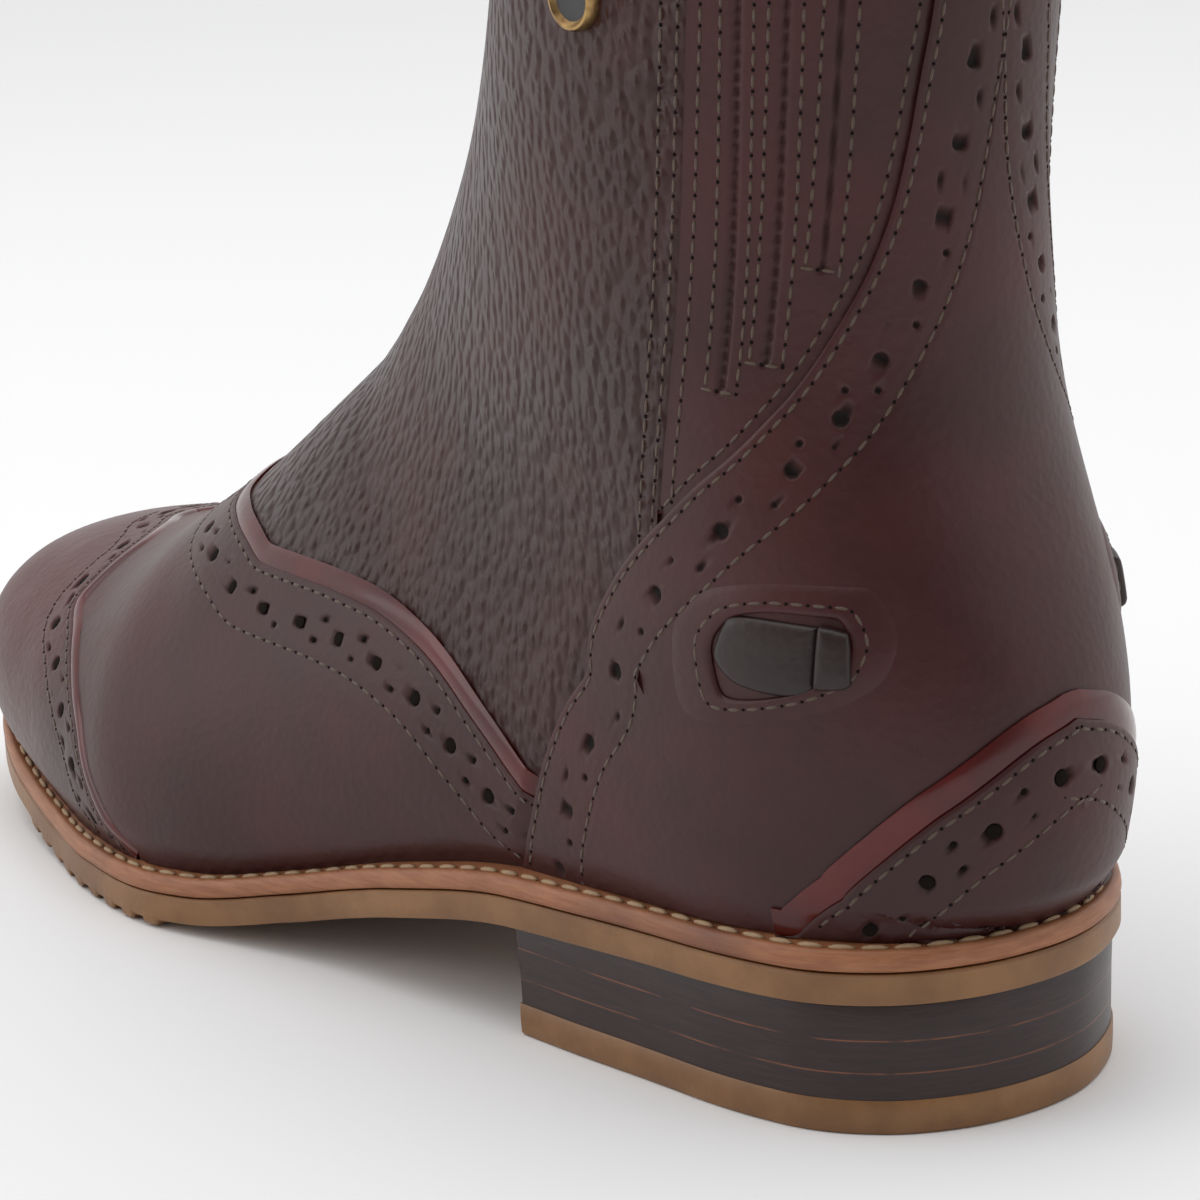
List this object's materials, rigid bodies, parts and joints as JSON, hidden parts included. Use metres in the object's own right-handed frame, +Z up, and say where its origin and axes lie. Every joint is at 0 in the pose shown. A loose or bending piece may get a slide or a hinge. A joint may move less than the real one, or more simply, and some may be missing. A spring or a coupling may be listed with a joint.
{
  "type": "paddock boot",
  "caption": "Left ankle-high riding boot of dark leather with patent toe cap and trim, back panel, counter, welt and a low stacked heel, hollow and open at the collar.",
  "frame": {"origin": "on the floor, in the flat underside of the top lift, under the middle of the heel", "axes": "+X towards the toe, +Y towards the wearer's left (the outer side of this left boot), +Z up; the boot stands on its heel and on the flat band of its forefoot at Z = 0"},
  "size_m": [0.2662, 0.0998, 0.182],
  "materials": {
    "upper_leather": "satin",
    "patent_leather": "gloss",
    "lining_leather": "matte",
    "welt_leather": "satin",
    "sole_leather": "matte",
    "heel_leather": "satin",
    "badge_brass": "satin"
  },
  "bodies": {
    "root": {"upper": "upper_leather", "insole": "lining_leather", "welt": "welt_leather", "outsole": "sole_leather", "top_lift": "sole_leather", "heel_stack": "heel_leather", "toe_cap": "patent_leather", "toe_piping": "patent_leather", "vamp": "upper_leather", "vamp_piping": "patent_leather", "quarter": "upper_leather", "counter": "upper_leather", "gore_outer": "upper_leather", "gore_inner": "upper_leather", "spur_pad_outer": "upper_leather", "spur_pad_inner": "upper_leather", "spur_keeper_outer": "upper_leather", "spur_keeper_inner": "upper_leather", "badge": "badge_brass"}
  },
  "joints": []
}
